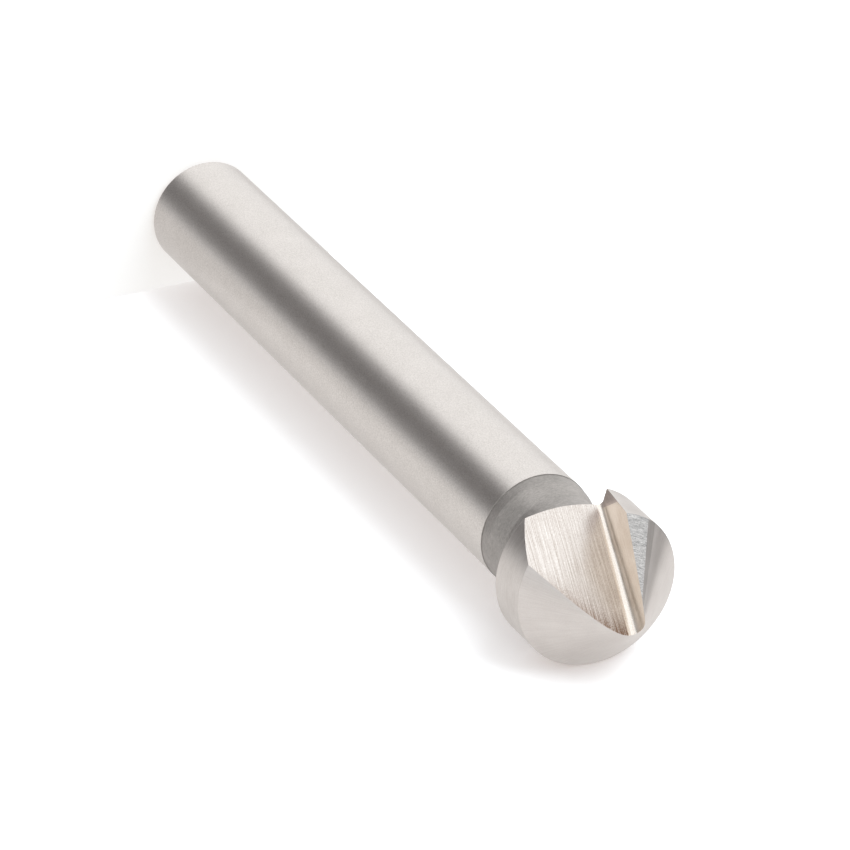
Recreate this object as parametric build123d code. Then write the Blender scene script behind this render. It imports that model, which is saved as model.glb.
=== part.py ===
"""Single-flute 90 degree countersink bit, turned and ground from one bar of high-speed steel.

The tool stands on its shank, with the middle of the shank's end face at the origin, the point
upwards and the cutting edge's outer end at azimuth 0, which is +X. Azimuths turn anticlockwise
as seen from the point, so the cone behind the edge lies at falling azimuths.
"""
from build123d import *
from math import cos, radians, sin, tan
import os

# Turned blank, in mm
overall_length = 50.0     # shank end to the sharp point that the cutting edge aims at
shank_diameter = 6.0
shank_chamfer = 0.3
head_diameter = 8.3
head_length = 6.95        # sharp point down to the head's back rim
head_back_angle = 23.5    # lean of the head's back face from square to the axis
point_angle = 90.0        # included angle of the cone

# Turned neck between the shank and the head
neck_length = 3.8         # head's back rim down to the shank
neck_step = 0.03          # how far the neck starts below the ground shank
neck_shoulder = 0.6       # length of the nearly full part next to the shank
neck_taper = 0.03         # fall of the radius over that part
neck_depth = 0.3          # how far the neck's floor lies below the shank
neck_fall_length = 1.2    # length over which the neck narrows to its floor
neck_blend = 0.8          # radius of the blends along the neck
neck_root_blend = 0.35    # radius of the blend between the floor and the head's back face

# Flute: a V groove with a wide back face and a narrow rake face. A face is set by its normal,
# at an azimuth and leaning up towards the point, and by where it meets the tool's axis,
# measured from the sharp point.
rake_azimuth = 103.4
rake_lean = -9.5
rake_crossing = 1.92
flute_back_azimuth = 6.8
flute_back_lean = 30.1
flute_back_crossing = -2.34
flute_root_radius = 0.16
flute_mid_azimuth = 28.0  # middle of the flute's mouth in the rim of the head

# Relief: behind the cutting edge the cone falls back steadily as it goes round. A land along
# the edge stays proud of it, and a ground flat blends the land into the cone.
relief_fall = 0.53        # how far the relieved cone falls back in one whole turn
land_height = 0.14        # how far the edge's outer end stands in front of the relieved cone
land_flat_azimuth = -40.3
land_flat_lean = 43.6
land_flat_depth = 0.048   # distance of the flat's plane below the sharp point
relief_core = 0.1         # radius about the axis that the relief cut stays out of
relief_gap = 10.0         # degrees of the turn, inside the flute, that the cut leaves out

# Derived sizes
shank_radius = shank_diameter / 2
head_radius = head_diameter / 2
cone_slope = tan(radians(point_angle / 2))
relief_slope = 1 / cone_slope + land_height / head_radius
rim_height = overall_length - head_radius / cone_slope
head_back = overall_length - head_length
shank_length = head_back - neck_length
neck_top_radius = shank_radius - neck_step
neck_floor = shank_radius - neck_depth
back_face_foot = head_back - (head_radius - neck_floor) * tan(radians(head_back_angle))
cutter_reach = 2 * head_diameter
relief_turn = 360 - relief_gap
relief_start_azimuth = flute_mid_azimuth - relief_turn


def direction(azimuth, lean):
    """Unit vector at an azimuth about the tool, tipped up towards the point."""
    turn, tip = radians(azimuth), radians(lean)
    return Vector(cos(turn) * cos(tip), sin(turn) * cos(tip), sin(tip))


def corner_of(outline, point):
    """The outline's corner nearest to a point."""
    return outline.vertices().sort_by_distance(Vector(*point))[0]


def turned_blank():
    """The shank, neck, head and full cone, turned in one piece."""
    shank = [
        (0, 0),
        (shank_radius - shank_chamfer, 0),
        (shank_radius, shank_chamfer),
        (shank_radius, shank_length),
    ]
    neck_start = (neck_top_radius, shank_length)
    shoulder_end = (neck_top_radius - neck_taper, shank_length + neck_shoulder)
    floor_start = (neck_floor, shank_length + neck_shoulder + neck_fall_length)
    floor_end = (neck_floor, back_face_foot)
    head = [(head_radius, head_back), (head_radius, rim_height), (0, overall_length)]
    outline = make_face(
        Polyline(*shank, neck_start, shoulder_end, floor_start, floor_end, *head, close=True)
    )
    outline = fillet([corner_of(outline, point) for point in (shoulder_end, floor_start)], neck_blend)
    outline = fillet(corner_of(outline, floor_end), neck_root_blend)
    return revolve(Plane.XZ * outline, Axis.Z)


def relief_cutter():
    """All that lies in front of the relieved cone, swept round the head along a helix."""
    inner, outer, top = relief_core, cutter_reach, overall_length + cutter_reach
    low_point = overall_length + relief_fall * relief_start_azimuth / 360
    section = make_face(
        Polyline(
            (inner, low_point - inner * relief_slope),
            (outer, low_point - outer * relief_slope),
            (outer, top),
            (inner, top),
            close=True,
        )
    )
    path = Helix(pitch=relief_fall, height=relief_fall * relief_turn / 360, radius=outer)
    cutter = sweep(Plane.XZ * section, path=path, is_frenet=True)
    return Rot(0, 0, relief_start_azimuth) * cutter


def edge_land():
    """The land behind the cutting edge, up to the flat that runs it out on the cone."""
    raised = make_face(
        Polyline(
            (0, head_back), (head_radius, head_back), (head_radius, rim_height), (0, overall_length),
            close=True,
        )
    )
    sector = flute_mid_azimuth - land_flat_azimuth
    land = Rot(0, 0, land_flat_azimuth) * revolve(Plane.XZ * raised, Axis.Z, revolution_arc=sector)
    normal = direction(land_flat_azimuth, land_flat_lean)
    point = Vector(0, 0, overall_length) - normal * land_flat_depth
    return split(land, Plane(origin=point, z_dir=normal), keep=Keep.BOTTOM)


def flute_cutter():
    """Prism with the flute's V section, lying along the groove's root."""
    tip = Vector(0, 0, overall_length)
    rake_normal = direction(rake_azimuth, rake_lean)
    back_normal = direction(flute_back_azimuth, flute_back_lean)
    rake = Plane(origin=tip + Vector(0, 0, rake_crossing), z_dir=rake_normal)
    back = Plane(origin=tip + Vector(0, 0, flute_back_crossing), z_dir=back_normal)
    root = rake.intersect(back)
    nearest = root.position + root.direction * (tip - root.position).dot(root.direction)
    up_rake = (back_normal - rake_normal * back_normal.dot(rake_normal)).normalized()
    up_back = (rake_normal - back_normal * rake_normal.dot(back_normal)).normalized()
    section = Plane(origin=nearest, x_dir=up_rake, z_dir=root.direction)
    mouth = [section.to_local_coords(nearest + side * cutter_reach) for side in (up_rake, up_back)]
    vee = make_face(Polyline((0, 0), *mouth, close=True))
    vee = fillet(corner_of(vee, (0, 0)), flute_root_radius)
    return extrude(section * vee, cutter_reach, both=True)


flute = flute_cutter()
fluted_blank = turned_blank() - flute
fluted_land = edge_land() - flute
countersink_bit = fluted_blank - relief_cutter() + fluted_land

os.makedirs("parts", exist_ok=True)
export_step(countersink_bit, "parts/countersink_bit.step")
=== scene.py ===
"""Looks of a single-flute 90 degree countersink bit: its ground and turned steel in a light studio.

The tool stands on its shank. Lengths are in mm until they are multiplied by MM, and angles are in
degrees until radians() takes them.
"""
from math import atan2, cos, degrees, hypot, pi, radians, sin, tan

import bmesh
import bpy
from mathutils import Matrix, Vector


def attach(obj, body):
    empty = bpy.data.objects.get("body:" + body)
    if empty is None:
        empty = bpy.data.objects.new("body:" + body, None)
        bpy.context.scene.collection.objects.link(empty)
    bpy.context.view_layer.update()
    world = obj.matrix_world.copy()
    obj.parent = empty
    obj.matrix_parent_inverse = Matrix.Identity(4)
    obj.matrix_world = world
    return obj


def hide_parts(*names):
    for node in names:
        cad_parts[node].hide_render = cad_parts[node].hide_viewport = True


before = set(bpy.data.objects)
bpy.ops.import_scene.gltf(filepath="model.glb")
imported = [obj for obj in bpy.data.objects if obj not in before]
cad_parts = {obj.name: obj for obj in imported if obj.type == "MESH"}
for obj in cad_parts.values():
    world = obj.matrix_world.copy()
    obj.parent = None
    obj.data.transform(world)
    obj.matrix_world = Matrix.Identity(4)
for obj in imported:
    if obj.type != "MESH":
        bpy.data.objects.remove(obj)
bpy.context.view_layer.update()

MM = 0.001

# Turned blank, as in the CAD part
LENGTH = 50.0                # shank end to the sharp point that the cutting edge aims at
SHANK_RADIUS = 3.0
SHANK_CHAMFER = 0.3
HEAD_RADIUS = 4.15
HEAD_BACK = 43.05            # height of the head's back rim
HEAD_BACK_ANGLE = 23.5       # lean of the head's back face from level
NECK_START = 39.25           # height where the ground shank ends
NECK_STEP = 0.03             # how far the neck starts below the shank's surface
NECK_SHOULDER = 0.6          # length of the nearly full part next to the shank
NECK_TAPER = 0.03            # fall of the radius over that part
NECK_DEPTH = 0.3             # how far the neck's floor lies below the shank's surface
NECK_FALL = 1.2              # length over which the neck narrows to its floor
NECK_BLEND = 0.8             # radius of the blends at both ends of that fall
NECK_ROOT_BLEND = 0.35       # radius of the blend between the floor and the head's back face

# Flute and relief, as in the CAD part, but the flute's root is rounder, and more so at the tip.
# A flat is set by its normal's azimuth and lean up towards the point. A face of the flute meets
# the tool's axis at its crossing, measured from the sharp point.
RAKE_AZIMUTH, RAKE_LEAN, RAKE_CROSSING = 103.4, -9.5, 1.92
BACK_AZIMUTH, BACK_LEAN, BACK_CROSSING = 6.8, 30.1, -2.34
ROOT_RADIUS_AT_TIP = 0.52    # where the root is nearest to the sharp point
ROOT_RADIUS_GAIN = 0.032     # per mm along the root, towards the tip
FLUTE_MIDDLE = 28.0          # azimuth of the middle of the flute's mouth
FLUTE_END = HEAD_BACK - 1.0  # the whole flute is above this height
RELIEF_FALL = 0.53           # how far the relieved cone falls back in one whole turn
LAND_HEIGHT = 0.14           # how far the land stands in front of the relieved cone at the rim
RUN_OUT_AZIMUTH, RUN_OUT_LEAN = -40.3, 43.6
RUN_OUT_DEPTH = 0.048        # distance of the run-out flat's plane below the sharp point

# Fineness of the mesh
TURN_STEPS = 600             # faces round the axis
CONE_RINGS = 48              # faces from the rim to the point
SHANK_RINGS = 8              # faces along the shank
BLEND_STEPS = 12             # faces round a blend
WHEEL_REACH = 16.6           # length of the wheel's sides, which end outside the head
WHEEL_ENDS = (-10.0, 3.0)    # along the root, from its place nearest to the sharp point
BLANK_MERGE = 0.001          # corners of the blank that are nearer than this become one
CUT_MERGE = 0.0005           # the same, after the flute is cut
ON_PLANE = 0.0001            # corners this near to a cutting plane are on it
SMOOTH_BELOW = radians(10)   # edges that turn less than this are smooth

# How the faces of the finished tool are told apart. The first three are shares of a flat's
# normal in a face's own, which fall as the rounded root turns away from the flat.
SAME_FLAT = 0.9999           # more is on the flat
SKIN_REACH = 0.75            # more can have the hardening skin, from the rake face's side
RAKE_REACH = 0.6             # more has the rake face's finish
FACES_UP = 0.1               # the head's front faces up by more than this
HEAD_MARGIN = 0.02           # the head's rim is this near to the head's radius
ROOT_MARGIN = 0.05           # the root is further in than this from the head's radius


def direction(azimuth, lean=0.0):
    """Unit vector at an azimuth about the tool, tipped up towards the point."""
    turn, tip = radians(azimuth), radians(lean)
    return Vector((cos(turn) * cos(tip), sin(turn) * cos(tip), sin(tip)))


POINT = Vector((0, 0, LENGTH))
UP = Vector((0, 0, 1))
RAKE_NORMAL = direction(RAKE_AZIMUTH, RAKE_LEAN)
BACK_NORMAL = direction(BACK_AZIMUTH, BACK_LEAN)
RUN_OUT_NORMAL = direction(RUN_OUT_AZIMUTH, RUN_OUT_LEAN)
ROOT_LINE = BACK_NORMAL.cross(RAKE_NORMAL).normalized()
UP_RAKE = (BACK_NORMAL - RAKE_NORMAL * BACK_NORMAL.dot(RAKE_NORMAL)).normalized()
UP_BACK = (RAKE_NORMAL - BACK_NORMAL * RAKE_NORMAL.dot(BACK_NORMAL)).normalized()


# ------------------------------------------------------------------ shape
def blend_corner(mesh, place, radius):
    """Rounds the corner at a place on the profile's wire with an arc of that radius."""
    corner = min(mesh.verts, key=lambda vert: (vert.co - place).length)
    ways = [(edge.other_vert(corner).co - corner.co).normalized() for edge in corner.link_edges]
    reach = radius * MM / tan(ways[0].angle(ways[1]) / 2)
    bmesh.ops.bevel(
        mesh, geom=[corner], offset=reach, offset_type="OFFSET", segments=BLEND_STEPS,
        profile=0.5, affect="VERTICES", material=-1,
    )


def turned_blank():
    """Shank, neck, head and full cone: the profile spun round the tool's axis."""
    neck_top = SHANK_RADIUS - NECK_STEP
    neck_floor = SHANK_RADIUS - NECK_DEPTH
    back_foot = HEAD_BACK - (HEAD_RADIUS - neck_floor) * tan(radians(HEAD_BACK_ANGLE))
    profile = [
        (0, 0),
        (SHANK_RADIUS - SHANK_CHAMFER, 0),
        (SHANK_RADIUS, SHANK_CHAMFER),
        (SHANK_RADIUS, NECK_START),
        (neck_top, NECK_START),
        (neck_top - NECK_TAPER, NECK_START + NECK_SHOULDER),
        (neck_floor, NECK_START + NECK_SHOULDER + NECK_FALL),
        (neck_floor, back_foot),
        (HEAD_RADIUS, HEAD_BACK),
        (HEAD_RADIUS, LENGTH - HEAD_RADIUS),
        (0, LENGTH),
    ]
    mesh = bmesh.new()
    corners = [mesh.verts.new((radius * MM, 0, height * MM)) for radius, height in profile]
    lines = [mesh.edges.new(pair) for pair in zip(corners, corners[1:])]
    shank_side, cone_side = lines[2], lines[-1]
    bmesh.ops.subdivide_edges(mesh, edges=[shank_side], cuts=SHANK_RINGS - 1)
    bmesh.ops.subdivide_edges(mesh, edges=[cone_side], cuts=CONE_RINGS - 1)
    neck_corners = profile[5:8]
    neck_blends = (NECK_BLEND, NECK_BLEND, NECK_ROOT_BLEND)
    for (radius, height), blend in zip(neck_corners, neck_blends):
        blend_corner(mesh, Vector((radius, 0, height)) * MM, blend)
    bmesh.ops.spin(
        mesh, geom=mesh.verts[:] + mesh.edges[:], cent=(0, 0, 0), axis=UP,
        angle=2 * pi, steps=TURN_STEPS, use_merge=True, use_duplicate=False,
    )
    bmesh.ops.remove_doubles(mesh, verts=mesh.verts, dist=BLANK_MERGE * MM)
    bmesh.ops.recalc_face_normals(mesh, faces=mesh.faces)
    return mesh


def front(radius, azimuth):
    """Height of the head's front and the name of the ground surface there."""
    cone = LENGTH + RELIEF_FALL * azimuth / 360 - radius * (1 + LAND_HEIGHT / HEAD_RADIUS)
    if azimuth < RUN_OUT_AZIMUTH:
        return cone, "cone"
    land = LENGTH - radius
    outward = RUN_OUT_NORMAL.dot(direction(azimuth)) * radius
    run_out = LENGTH - (RUN_OUT_DEPTH + outward) / RUN_OUT_NORMAL.z
    return max((cone, "cone"), min((land, "land"), (run_out, "run_out")))


def turn_behind_flute(place):
    """Azimuth of a place, in the one turn that ends at the middle of the flute's mouth."""
    azimuth = degrees(atan2(place.y, place.x))
    return azimuth - 360 if azimuth > FLUTE_MIDDLE else azimuth


def relieve(mesh):
    """Lets the cone fall back behind the cutting edge and leaves the land along the edge proud."""
    rim_middle = (HEAD_BACK + LENGTH - HEAD_RADIUS) / 2
    for vert in mesh.verts:
        if vert.co.z > rim_middle * MM:
            radius = hypot(vert.co.x, vert.co.y) / MM
            vert.co.z = front(radius, turn_behind_flute(vert.co))[0] * MM


def root_place():
    """The place on the flute's root, while still sharp, that is nearest to the sharp point."""
    meeting = Matrix((RAKE_NORMAL, BACK_NORMAL, ROOT_LINE)).inverted()
    return meeting @ Vector((
        RAKE_NORMAL.dot(POINT + UP * RAKE_CROSSING),
        BACK_NORMAL.dot(POINT + UP * BACK_CROSSING),
        ROOT_LINE.dot(POINT),
    ))


def flute_wheel():
    """The wedge that the grinding wheel sweeps through the head, rounded along its root."""
    mesh = bmesh.new()
    for end in WHEEL_ENDS:
        root = root_place() + ROOT_LINE * end
        section = [root, root + UP_RAKE * WHEEL_REACH, root + UP_BACK * WHEEL_REACH]
        corners = [mesh.verts.new(place * MM) for place in section]
        for pair in zip(corners, corners[1:] + corners[:1]):
            mesh.edges.new(pair)
        blend_corner(mesh, root * MM, ROOT_RADIUS_AT_TIP + ROOT_RADIUS_GAIN * end)
    bmesh.ops.bridge_loops(mesh, edges=mesh.edges)
    bmesh.ops.holes_fill(mesh, edges=mesh.edges, sides=0)
    bmesh.ops.recalc_face_normals(mesh, faces=mesh.faces)
    return mesh


def placed(name, mesh):
    """Puts a bmesh into the scene as an object at the origin."""
    data = bpy.data.meshes.new(name)
    mesh.to_mesh(data)
    mesh.free()
    made = bpy.data.objects.new(name, data)
    bpy.context.scene.collection.objects.link(made)
    return made


def cut_flute(tool):
    """Grinds the flute into the blank and leaves the result as the tool's own mesh."""
    wheel = placed("flute_wheel", flute_wheel())
    grind = tool.modifiers.new("grind_flute", "BOOLEAN")
    grind.operation, grind.solver, grind.object = "DIFFERENCE", "EXACT", wheel
    evaluated = tool.evaluated_get(bpy.context.evaluated_depsgraph_get())
    ground = bpy.data.meshes.new_from_object(evaluated)
    tool.modifiers.clear()
    tool.data = ground
    bpy.data.objects.remove(wheel)


# The rear corner of the rake face still has its hardening skin. The skin ends on a line between
# two places on the rake face, each an azimuth, a radius and a height.
SKIN_OUTER = direction(-3.8) * 4.12 + UP * 44.54
SKIN_INNER = direction(-18.4) * 2.91 + UP * 42.49
SKIN_REARWARD = RAKE_NORMAL.cross(SKIN_OUTER - SKIN_INNER).normalized()


def along_root(face):
    """Whether a face runs along the root, as the flute's faces do.

    The rounded root widens, and its faces lean by less than it gains.
    """
    return abs(face.normal.dot(ROOT_LINE)) < ROOT_RADIUS_GAIN


def surface_of(face):
    """Name of the surface that a face of the finished tool belongs to."""
    middle = face.calc_center_median() / MM
    radius = hypot(middle.x, middle.y)
    rake_share = face.normal.dot(RAKE_NORMAL)
    in_flute = along_root(face) and middle.z > FLUTE_END
    behind_skin_line = (middle - SKIN_INNER).dot(SKIN_REARWARD) > 0
    if in_flute and rake_share > SKIN_REACH and behind_skin_line:
        return "rake_rear"
    if rake_share > SAME_FLAT:
        return "rake"
    if face.normal.dot(BACK_NORMAL) > SAME_FLAT:
        return "flute_back"
    if in_flute and radius < HEAD_RADIUS - ROOT_MARGIN:
        return "rake" if rake_share > RAKE_REACH else "flute_root"
    if middle.z < NECK_START - BLANK_MERGE:
        return "shank"
    if face.normal.z < FACES_UP:
        return "head" if radius > HEAD_RADIUS - HEAD_MARGIN else "neck"
    if middle.z < HEAD_BACK:
        return "neck"
    return front(radius, turn_behind_flute(middle))[1]


def finish_faces(tool, finishes):
    """Gives each face its finish, and keeps edges crisp where two ground surfaces meet."""
    for material in finishes.values():
        tool.data.materials.append(material)
    order = list(finishes)
    mesh = bmesh.new()
    mesh.from_mesh(tool.data)
    bmesh.ops.remove_doubles(mesh, verts=mesh.verts, dist=CUT_MERGE * MM)
    rake = [
        face for face in mesh.faces
        if face.normal.dot(RAKE_NORMAL) > SKIN_REACH and along_root(face)
    ]
    around = dict.fromkeys(part for face in rake for part in (face, *face.edges, *face.verts))
    bmesh.ops.bisect_plane(
        mesh, geom=list(around), dist=ON_PLANE * MM, plane_co=SKIN_INNER * MM,
        plane_no=SKIN_REARWARD,
    )
    for face in mesh.faces:
        face.smooth = True
        face.material_index = order.index(surface_of(face))
    for edge in mesh.edges:
        edge.smooth = len(edge.link_faces) == 2 and edge.calc_face_angle(0) < SMOOTH_BELOW
    mesh.to_mesh(tool.data)
    mesh.free()
    # At a weight of 100 the largest faces alone set the shading at a corner
    flat = tool.modifiers.new("flat_faces_stay_flat", "WEIGHTED_NORMAL")
    flat.mode, flat.weight, flat.keep_sharp = "FACE_AREA", 100, True


# ------------------------------------------------------------------ materials
# Sockets of the Mix node that blend colours
COLOUR_A, COLOUR_B, COLOUR_OUT = 6, 7, 2

# What all the steel finishes share
EDGE_WEAR = 0.03             # radius of the worn edges, where light catches
GRAIN = 0.055                # pitch of the finest grain, 0.01 in the steel, coarser here to show
GRAIN_SHARE = 0.35           # of the grain in the marks
CLOUD = 1.25                 # size of the soft clouds in the tone
DARK_AT, LIGHT_AT = 0.36, 0.64         # values of the tone that give the two colours
MARKS_LOW, MARKS_HIGH = 0.2, 0.8       # values of the marks that give the roughness's two ends
ROUGHNESS_SWING = 0.06       # from the finish's own roughness to each end

# Brown painted on the flute towards its tip, a painted reflection of the tan rake face: each pair
# says where it starts and where it is full
RAKE_REFLECTION_COLOUR = "#866a57"
REFLECTION_INSIDE = (2.3, 0.6)    # below the sharp cone
REFLECTION_ALONG = (-4.2, -1.0)   # along the root, from its place nearest to the sharp point
REFLECTION_STREAKS = (0.58, 0.44)           # values of the marks
REFLECTION_BETWEEN = 0.5          # share of the painted reflection that is left between its streaks


def linear(colour):
    """A hex sRGB colour as linear RGBA, by the sRGB standard's curve."""
    shares = [int(colour[i:i + 2], 16) / 255 for i in (1, 3, 5)]
    return (*(s / 12.92 if s <= 0.04045 else ((s + 0.055) / 1.055) ** 2.4 for s in shares), 1.0)


def add(tree, kind, inputs, **settings):
    """Adds a node with its settings. Inputs are values or other nodes' sockets."""
    node = tree.nodes.new("ShaderNode" + kind)
    for name, value in settings.items():
        setattr(node, name, value)
    for name, value in inputs.items():
        if isinstance(value, bpy.types.NodeSocket):
            tree.links.new(value, node.inputs[name])
        else:
            node.inputs[name].default_value = value
    return node


def part_place(tree):
    """The place on the part in mm."""
    place = add(tree, "TexCoord", {}).outputs["Object"]
    return add(tree, "VectorMath", {0: place, "Scale": 1 / MM}, operation="SCALE").outputs["Vector"]


def about_axis(tree):
    """The place on the part as its direction from the axis, its radius and its height in mm."""
    place = part_place(tree)
    flat = add(tree, "VectorMath", {0: place, 1: (1, 1, 0)}, operation="MULTIPLY").outputs["Vector"]
    outward = add(tree, "VectorMath", {0: flat}, operation="NORMALIZE").outputs["Vector"]
    radius = add(tree, "VectorMath", {0: flat}, operation="LENGTH").outputs["Value"]
    height = add(tree, "VectorMath", {0: place, 1: UP}, operation="DOT_PRODUCT").outputs["Value"]
    return outward, radius, height


def turned_pattern(tree, outward, scale, along):
    """Pattern place on a round surface: outward times a scale, and along on its own axis."""
    around = add(tree, "VectorMath", {
        0: outward, "Scale": scale,
    }, operation="SCALE").outputs["Vector"]
    rise = add(tree, "CombineXYZ", {"Z": along}).outputs["Vector"]
    return add(tree, "VectorMath", {0: around, 1: rise}, operation="ADD").outputs["Vector"]


def ring_marks(tree, length, pitch):
    """Pattern place for marks that run round the axis. Length is that of a mark on the shank."""
    outward, radius, height = about_axis(tree)
    along = add(tree, "Math", {0: height, 1: radius}, operation="SUBTRACT").outputs["Value"]
    along = add(tree, "Math", {0: along, 1: pitch}, operation="DIVIDE").outputs["Value"]
    return turned_pattern(tree, outward, SHANK_RADIUS / length, along)


def fan_marks(tree, length, pitch):
    """Pattern place for marks that fan out from the point. Pitch is their pitch at the rim."""
    outward, radius = about_axis(tree)[:2]
    along = add(tree, "Math", {0: radius, 1: length}, operation="DIVIDE").outputs["Value"]
    return turned_pattern(tree, outward, HEAD_RADIUS / pitch, along)


def straight_marks(tree, length, pitch, along, across):
    """Pattern place for straight marks along one direction of a flat face."""
    place, along, across = part_place(tree), along / length, across / pitch
    run = add(tree, "VectorMath", {0: place, 1: along}, operation="DOT_PRODUCT").outputs["Value"]
    step = add(tree, "VectorMath", {0: place, 1: across}, operation="DOT_PRODUCT").outputs["Value"]
    return add(tree, "CombineXYZ", {"X": run, "Y": step}).outputs["Vector"]


def grain_marks(tree, pitch):
    """Pattern place for a grain that is the same in all directions."""
    return add(tree, "VectorMath", {
        0: part_place(tree), "Scale": 1 / pitch,
    }, operation="SCALE").outputs["Vector"]


def steel(
    name, light, dark, roughness, relief, marks, clouds=0.3, grooves=0.0, painted_reflection=None, **pattern,
):
    """Steel whose marks vary its tone, its roughness and its height.

    Relief is the height of the marks in mm, and pattern is what their own function is told.
    Clouds is the share of soft clouds in the tone. Grooves is how far rings round the axis draw
    out the gloss. A painted reflection changes the colour.
    """
    material = bpy.data.materials.new(name)
    material.use_nodes = True
    tree = material.node_tree
    tree.nodes.clear()
    marked = add(tree, "TexNoise", {
        "Vector": marks(tree, **pattern), "Scale": 1.0, "Detail": 3.0, "Roughness": 0.6,
    }).outputs["Fac"]
    place = part_place(tree)
    grain = add(tree, "TexNoise", {
        "Vector": place, "Scale": 1 / GRAIN, "Detail": 1.0,
    }).outputs["Fac"]
    marked = add(tree, "Mix", {
        "Factor": GRAIN_SHARE, "A": marked, "B": grain,
    }, data_type="FLOAT").outputs["Result"]
    cloud = add(tree, "TexNoise", {
        "Vector": place, "Scale": 1 / CLOUD, "Detail": 3.0,
    }).outputs["Fac"]
    tone = add(tree, "Mix", {
        "Factor": clouds, "A": marked, "B": cloud,
    }, data_type="FLOAT").outputs["Result"]
    tone = add(tree, "MapRange", {
        "Value": tone, "From Min": DARK_AT, "From Max": LIGHT_AT,
    }).outputs["Result"]
    colour = add(tree, "Mix", {
        "Factor": tone, COLOUR_A: linear(dark), COLOUR_B: linear(light),
    }, data_type="RGBA").outputs[COLOUR_OUT]
    # A painted reflection, where one is given, is mixed into the colour
    if painted_reflection:
        colour = painted_reflection(tree, marked, colour)
    rough = add(tree, "MapRange", {
        "Value": marked, "From Min": MARKS_LOW, "From Max": MARKS_HIGH,
        "To Min": roughness - ROUGHNESS_SWING, "To Max": roughness + ROUGHNESS_SWING,
    }).outputs["Result"]
    edges = add(tree, "Bevel", {"Radius": EDGE_WEAR * MM}, samples=4).outputs["Normal"]
    bump = add(tree, "Bump", {
        "Height": marked, "Strength": 1.0, "Distance": relief * MM, "Normal": edges,
    }).outputs["Normal"]
    around = add(tree, "VectorMath", {0: UP, 1: place}, operation="CROSS_PRODUCT").outputs["Vector"]
    shader = add(tree, "BsdfPrincipled", {
        "Base Color": colour, "Metallic": 1.0, "Roughness": rough, "Normal": bump,
        "Anisotropic": grooves, "Tangent": around,
    })
    add(tree, "OutputMaterial", {"Surface": shader.outputs["BSDF"]})
    return material


# The marks of a fine grinding wheel are 0.01 to 0.02 mm apart, too fine to show, so pitches of
# 0.05 to 0.09 on ground steel and on the skin are as coarse as they need to be to show. The
# neck's rings and the land's strokes have their real pitch.
def centreless_ground():
    """High-speed steel ground to size between two wheels: an even satin with a fine grain."""
    return steel(
        "hss_centreless_ground", light="#e6e2df", dark="#c9c5c1", roughness=0.32, relief=0.0024,
        marks=grain_marks, pitch=0.07, clouds=0.1,
    )


def turned_and_hardened():
    """Turned high-speed steel with its grey hardening skin: fine rings, no shine."""
    return steel(
        "hss_turned_hardened", light="#c6c2bf", dark="#9a9794", roughness=0.42, relief=0.004,
        marks=ring_marks, length=0.22, pitch=0.06, grooves=0.9,
    )


def skin_on_rake():
    """Hardening skin left on the rear corner of the rake face: a warm grey, duller than steel."""
    return steel(
        "hss_hardening_skin", light="#ded2cc", dark="#b9aca6", roughness=0.4, relief=0.0012,
        marks=grain_marks, pitch=0.09,
    )


def cylindrical_ground():
    """High-speed steel ground round on the head's rim: satin with faint rings."""
    return steel(
        "hss_cylindrical_ground", light="#dfdbd8", dark="#cbc6c2", roughness=0.34, relief=0.0010,
        marks=ring_marks, length=0.5, pitch=0.07,
    )


def relief_ground():
    """High-speed steel cone ground with a falling cam: satin, faint marks from rim to point."""
    return steel(
        "hss_relief_ground", light="#e0dcd9", dark="#d2cdca", roughness=0.34, relief=0.0010,
        marks=fan_marks, length=1.2, pitch=0.07,
    )


def land_ground():
    """High-speed steel land left rough by a coarse wheel: short strokes across the edge."""
    return steel(
        "hss_cross_ground_land", light="#eae9e8", dark="#9a9a9a", roughness=0.32, relief=0.006,
        marks=ring_marks, length=0.4, pitch=0.075, clouds=0.05,
    )


def run_out_painted_shade():
    """High-speed steel flat that runs the land out: satin, and painted a little greyer than the
    cone as painted shade for the dim reflection it shows.
    """
    return steel(
        "hss_run_out_painted_shade", light="#cfccca", dark="#bab6b3", roughness=0.36, relief=0.0010,
        marks=fan_marks, length=1.6, pitch=0.08,
    )


def paint_rake_reflection(tree, marked, colour):
    """Paints the flute brown towards the tip, along the edge with the cone: a painted reflection of
    the tan rake face.
    """
    radius, height = about_axis(tree)[1:]
    inside = add(tree, "Math", {0: LENGTH, 1: height}, operation="SUBTRACT").outputs["Value"]
    inside = add(tree, "Math", {0: inside, 1: radius}, operation="SUBTRACT").outputs["Value"]
    along = add(tree, "VectorMath", {
        0: part_place(tree), 1: ROOT_LINE,
    }, operation="DOT_PRODUCT").outputs["Value"]
    along = add(tree, "Math", {
        0: along, 1: ROOT_LINE.dot(root_place()),
    }, operation="SUBTRACT").outputs["Value"]
    share = 1.0
    for value, (none_at, full_at), least in (
        (inside, REFLECTION_INSIDE, 0.0),
        (along, REFLECTION_ALONG, 0.0),
        (marked, REFLECTION_STREAKS, REFLECTION_BETWEEN),
    ):
        shown = add(tree, "MapRange", {
            "Value": value, "From Min": none_at, "From Max": full_at, "To Min": least,
        }).outputs["Result"]
        share = add(tree, "Math", {0: share, 1: shown}, operation="MULTIPLY").outputs["Value"]
    return add(tree, "Mix", {
        "Factor": share, COLOUR_A: colour, COLOUR_B: linear(RAKE_REFLECTION_COLOUR),
    }, data_type="RGBA").outputs[COLOUR_OUT]


def flute_ground():
    """High-speed steel flute face: long bright wheel marks along the groove."""
    return steel(
        "hss_flute_ground", light="#fefbf8", dark="#c3b9b1", roughness=0.32, relief=0.007,
        marks=straight_marks, length=4.0, pitch=0.058, along=ROOT_LINE, across=UP_BACK,
        # The brown towards the tip is a painted reflection of the rake face
        clouds=0.1, painted_reflection=paint_rake_reflection,
    )


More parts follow.
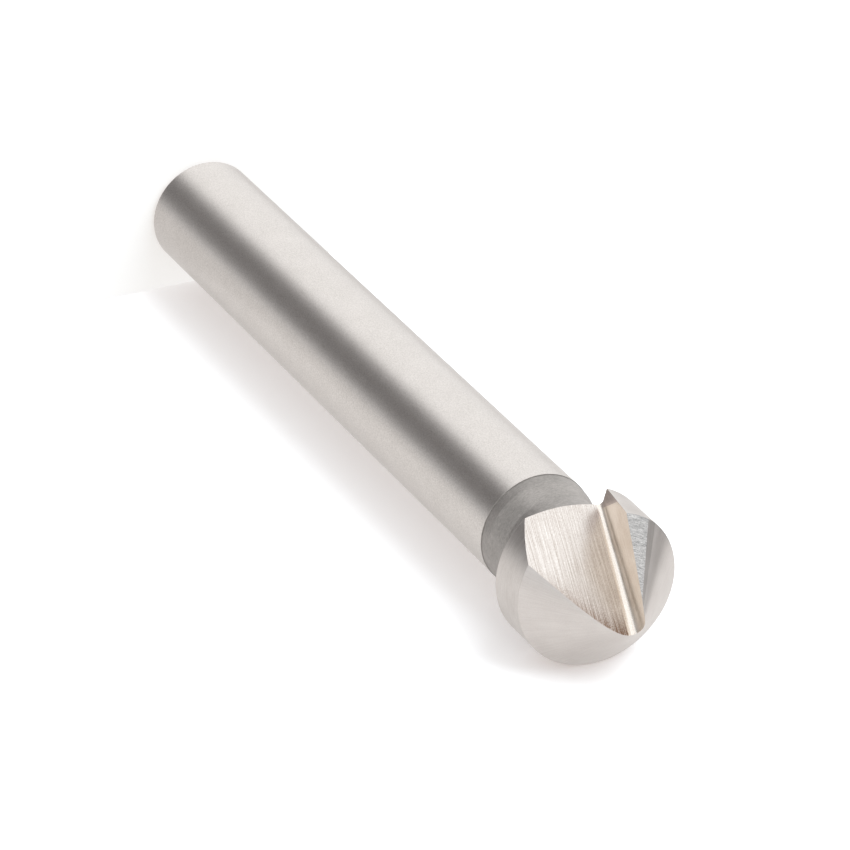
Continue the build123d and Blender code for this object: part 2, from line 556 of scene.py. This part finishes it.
def flute_root_painted_highlight():
    """High-speed steel root of the flute, rounded by the wheel's worn corner and ground smoother;
    its lighter colour is a painted highlight.
    """
    return steel(
        "hss_flute_root_painted_highlight", light="#fbf7f2", dark="#e0d8cf", roughness=0.26, relief=0.002,
        marks=straight_marks, length=2.0, pitch=0.05, along=ROOT_LINE, across=UP_BACK,
        clouds=0.1,
    )


def rake_ground():
    """High-speed steel rake face: finely ground and straw-tinted by the heat of grinding."""
    return steel(
        "hss_rake_ground", light="#f8efe5", dark="#d8c9b9", roughness=0.32, relief=0.0025,
        marks=straight_marks, length=1.5, pitch=0.06, along=ROOT_LINE, across=UP_RAKE,
        clouds=0.4,
    )


blank = turned_blank()
relieve(blank)
tool = placed("countersink_bit_ground", blank)
cut_flute(tool)
finish_faces(tool, {
    "shank": centreless_ground(),
    "neck": turned_and_hardened(),
    "head": cylindrical_ground(),
    "cone": relief_ground(),
    "land": land_ground(),
    # The run-out's greyer colour is painted shade
    "run_out": run_out_painted_shade(),
    "flute_back": flute_ground(),
    # The root's lighter colour is a painted highlight
    "flute_root": flute_root_painted_highlight(),
    "rake": rake_ground(),
    "rake_rear": skin_on_rake(),
})
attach(tool, "root")
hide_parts("countersink_bit")

# ------------------------------------------------------------------ studio
FACING = 57.2                # azimuth of the shank's line nearest the camera
NEAR_SIDE, RIGHT_SIDE = direction(FACING), direction(FACING - 90)
CARD_NORMAL = direction(FACING - 40)
FLAG_SIDE = direction(FACING - 131)
ALL_ROUND = (0.92, 0.92, 0.92, 1)      # the studio's plain light

CAMERA_PLACE = Vector((85.514, 132.692, 228.585))
CAMERA_RIGHT = Vector((0.27250837, -0.85252717, 0.44602312))
CAMERA_UP = Vector((0.90215736, 0.065268, -0.42644131))
SENSOR_WIDTH, LENS_LENGTH = 36, 215.62
NEAREST_SEEN, FURTHEST_SEEN = 10, 10000


def towards(turn, rise):
    """A direction by its turn from the camera's side of the tool and its share along the tool."""
    flat = NEAR_SIDE * cos(radians(turn)) + RIGHT_SIDE * sin(radians(turn))
    return flat * (1 - rise * rise) ** 0.5 + UP * rise


def painted(tree, colour, glow):
    """A matt paint with a faint glow, which keeps shadows on it light."""
    paint = add(tree, "BsdfDiffuse", {"Color": linear(colour)}).outputs["BSDF"]
    light = add(tree, "Emission", {"Color": linear(glow)}).outputs["Emission"]
    return add(tree, "AddShader", {0: paint, 1: light}).outputs["Shader"]


def board(name, place, normal, size, colour, glow, in_steel=None):
    """A square studio board of one paint and glow.

    A board with a second paint and glow shows those in steel, and is clear from behind.
    """
    turn = normal.to_track_quat("Z", "Y").to_matrix().to_4x4()
    mesh = bmesh.new()
    bmesh.ops.create_grid(
        mesh, x_segments=1, y_segments=1, size=size / 2 * MM,
        matrix=Matrix.Translation(place * MM) @ turn,
    )
    sheet = placed(name, mesh)
    material = bpy.data.materials.new(name + "_paint")
    material.use_nodes = True
    tree = material.node_tree
    tree.nodes.clear()
    shader = painted(tree, colour, glow)
    if in_steel:
        mirrored = painted(tree, *in_steel)
        in_gloss = add(tree, "LightPath", {}).outputs["Is Glossy Ray"]
        shader = add(tree, "MixShader", {0: in_gloss, 1: shader, 2: mirrored}).outputs["Shader"]
        behind = add(tree, "NewGeometry", {}).outputs["Backfacing"]
        clear = add(tree, "BsdfTransparent", {}).outputs["BSDF"]
        shader = add(tree, "MixShader", {0: behind, 1: shader, 2: clear}).outputs["Shader"]
    add(tree, "OutputMaterial", {"Surface": shader})
    sheet.data.materials.append(material)
    return sheet


def studio_world():
    """Soft studio light from all round, with brighter and darker fields that the steel mirrors.

    A field is full up to its core's angle from its axis and gone at its rim's.
    """
    world = bpy.data.worlds.new("studio")
    bpy.context.scene.world = world
    world.use_nodes = True
    tree = world.node_tree
    tree.nodes.clear()
    way = add(tree, "TexCoord", {}).outputs["Generated"]
    light = ALL_ROUND
    bright_low_right = (towards(65, -0.5), 25, 70, (1.2, 1.19, 1.18, 1))
    grey_left = (towards(-100, 0.1), 25, 75, (0.5, 0.49, 0.48, 1))
    bright_near_right = (towards(40, -0.05), 10, 30, (1.25, 1.24, 1.22, 1))
    pale_behind_card = (-CARD_NORMAL, 60, 95, (0.88, 0.88, 0.88, 1))
    dark_below_camera = (towards(-11.5, -0.77), 10, 29, (0.16, 0.15, 0.15, 1))
    darkest_patch = (towards(-8, -0.45), 4, 15, (0.1, 0.095, 0.09, 1))
    for axis, core, rim, colour in (
        bright_low_right, grey_left, bright_near_right, pale_behind_card, dark_below_camera,
        darkest_patch,
    ):
        near = add(tree, "VectorMath", {0: way, 1: axis}, operation="DOT_PRODUCT").outputs["Value"]
        share = add(tree, "MapRange", {
            "Value": near, "From Min": cos(radians(rim)), "From Max": cos(radians(core)),
        }, interpolation_type="SMOOTHSTEP").outputs["Result"]
        light = add(tree, "Mix", {
            "Factor": share, COLOUR_A: light, COLOUR_B: colour,
        }, data_type="RGBA").outputs[COLOUR_OUT]
    glow = add(tree, "Background", {"Color": light, "Strength": 1.0}).outputs["Background"]
    add(tree, "OutputWorld", {"Surface": glow})


def softbox(name, way, distance, size, watts):
    """A round soft light aimed at the middle of the tool, and not seen in the steel."""
    light = bpy.data.lights.new(name, "AREA")
    light.shape, light.size, light.energy = "DISK", size * MM, watts
    box = bpy.data.objects.new(name, light)
    turn = way.to_track_quat("Z", "Y").to_matrix().to_4x4()
    place = UP * LENGTH / 2 + way.normalized() * distance
    box.matrix_world = Matrix.Translation(place * MM) @ turn
    box.visible_glossy = False
    bpy.context.scene.collection.objects.link(box)


def view_camera():
    """A long lens that looks down on the tool's point."""
    lens = bpy.data.cameras.new("camera")
    lens.sensor_width, lens.lens = SENSOR_WIDTH, LENS_LENGTH
    lens.clip_start, lens.clip_end = NEAREST_SEEN * MM, FURTHEST_SEEN * MM
    camera = bpy.data.objects.new("camera", lens)
    backward = CAMERA_RIGHT.cross(CAMERA_UP)
    turn = Matrix((CAMERA_RIGHT, CAMERA_UP, backward)).transposed().to_4x4()
    camera.matrix_world = Matrix.Translation(CAMERA_PLACE * MM) @ turn
    bpy.context.scene.collection.objects.link(camera)
    bpy.context.scene.camera = camera


# The floor lies just below the shank's end, so that the two don't share a plane. The steel mirrors
# the studio's light in its place.
floor = board(
    "floor", place=UP * -0.002, normal=UP, size=3000, colour="#adb8c0", glow="#c9bfb6",
)
floor.visible_glossy = False
# The card stands behind the tool and touches its head
card = board(
    "backdrop_card", place=CARD_NORMAL * -HEAD_RADIUS + UP * 100, normal=CARD_NORMAL, size=600,
    colour="#e7eff4", glow="#88776e", in_steel=("#898887", "#c5c2c0"),
)
card.visible_diffuse = card.visible_shadow = False
# The flag is only seen in the steel
flag = board(
    "grey_flag", place=FLAG_SIDE * 27 + UP * 43, normal=-FLAG_SIDE, size=13,
    colour="#a9a6a4", glow="#000000",
)
flag.visible_camera = flag.visible_diffuse = flag.visible_shadow = False
studio_world()
softbox(
    "key_softbox", way=CARD_NORMAL * 0.75 + RIGHT_SIDE * 0.55 + UP * 0.55, distance=400, size=330,
    watts=1.2,
)
view_camera()
bpy.context.scene.view_settings.view_transform = "Standard"
